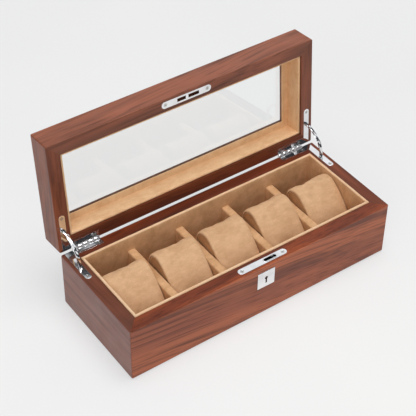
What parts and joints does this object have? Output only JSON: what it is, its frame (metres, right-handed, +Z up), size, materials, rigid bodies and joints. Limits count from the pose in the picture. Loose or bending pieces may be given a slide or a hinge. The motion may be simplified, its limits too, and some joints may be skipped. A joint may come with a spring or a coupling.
{
  "type": "watch box",
  "caption": "Long wooden box with a glazed hinged lid, suede-lined compartments with lift-out watch pillows, quadrant hinges and a keyed lock.",
  "frame": {"origin": "centre of the felted underside, on the surface that the box stands on", "axes": "+X along the length to the right, +Y from the front with the lock to the hinges, +Z up; the lid is stored open on its stays"},
  "size_m": [0.31, 0.1645, 0.1888],
  "materials": {
    "wood": "satin lacquered walnut, reddish brown with darker streaks",
    "suede_lining": "tan microfibre suede, short nap",
    "suede_pillow": "tan microfibre suede, short nap",
    "foam": "foam core with tan suede end faces",
    "felt": "brown felt",
    "glass": "clear float glass",
    "chrome": "polished bright plating",
    "steel": "plain steel inside the lock"
  },
  "bodies": {
    "base": {"base_back_board": "wood", "base_bottom_panel": "wood", "base_felt": "felt", "base_floor_pad": "suede_lining", "base_front_board": "wood", "base_left_board": "wood", "base_liner_back": "suede_lining", "base_liner_front": "suede_lining", "base_liner_left": "suede_lining", "base_liner_right": "suede_lining", "base_right_board": "wood", "divider_1": "suede_lining", "divider_2": "suede_lining", "divider_3": "suede_lining", "divider_4": "suede_lining", "escutcheon": "chrome", "hinge_base_leaf_left": "chrome", "hinge_base_leaf_right": "chrome", "hinge_pins": "chrome", "hinge_screws_base": "chrome", "lock_case": "steel", "lock_face_plate": "chrome", "lock_posts": "steel", "lock_screws": "chrome"},
    "lid": {"hinge_lid_leaf_left": "chrome", "hinge_lid_leaf_right": "chrome", "hinge_screws_lid": "chrome", "lid_back_board": "wood", "lid_front_board": "wood", "lid_glass": "glass", "lid_glass_frame": "suede_lining", "lid_left_board": "wood", "lid_liner_back": "suede_lining", "lid_liner_front": "suede_lining", "lid_liner_left": "suede_lining", "lid_liner_right": "suede_lining", "lid_right_board": "wood", "strike_plate": "chrome", "strike_screws": "chrome"},
    "stay_left": {"stay_left": "chrome"},
    "stay_right": {"stay_right": "chrome"},
    "lock_bolt": {"lock_bolt": "steel"},
    "pillow_1": {"pillow_wrap_1": "suede_pillow", "pillow_core_1": "foam"},
    "pillow_2": {"pillow_wrap_2": "suede_pillow", "pillow_core_2": "foam"},
    "pillow_3": {"pillow_wrap_3": "suede_pillow", "pillow_core_3": "foam"},
    "pillow_4": {"pillow_wrap_4": "suede_pillow", "pillow_core_4": "foam"},
    "pillow_5": {"pillow_wrap_5": "suede_pillow", "pillow_core_5": "foam"}
  },
  "joints": [
    {"name": "lid_hinge", "type": "hinge", "parent": "base", "child": "lid", "pos_m": [0, 0.063, 0.0643], "axis": [-1, 0, 0], "range_deg": [-94.8, 0]},
    {"name": "stay_left_swing", "type": "hinge", "parent": "base", "child": "stay_left", "pos_m": [0, 0.063, 0.0643], "axis": [-1, 0, 0], "range_deg": [-47.4, 0]},
    {"name": "stay_right_swing", "type": "hinge", "parent": "base", "child": "stay_right", "pos_m": [0, 0.063, 0.0643], "axis": [-1, 0, 0], "range_deg": [-47.4, 0]},
    {"name": "bolt_turn", "type": "hinge", "parent": "base", "child": "lock_bolt", "pos_m": [0.004, -0.055, 0.057], "axis": [0, -1, 0], "range_deg": [0, 84]},
    {"name": "pillow_1_lift", "type": "slide", "parent": "base", "child": "pillow_1", "axis": [0, 0, 1], "range_m": [0, 0.065]},
    {"name": "pillow_2_lift", "type": "slide", "parent": "base", "child": "pillow_2", "axis": [0, 0, 1], "range_m": [0, 0.065]},
    {"name": "pillow_3_lift", "type": "slide", "parent": "base", "child": "pillow_3", "axis": [0, 0, 1], "range_m": [0, 0.065]},
    {"name": "pillow_4_lift", "type": "slide", "parent": "base", "child": "pillow_4", "axis": [0, 0, 1], "range_m": [0, 0.065]},
    {"name": "pillow_5_lift", "type": "slide", "parent": "base", "child": "pillow_5", "axis": [0, 0, 1], "range_m": [0, 0.065]}
  ],
  "couplings": [
    {"joint": "stay_left_swing", "follows": "lid_hinge", "ratio": 0.5},
    {"joint": "stay_right_swing", "follows": "lid_hinge", "ratio": 0.5}
  ]
}
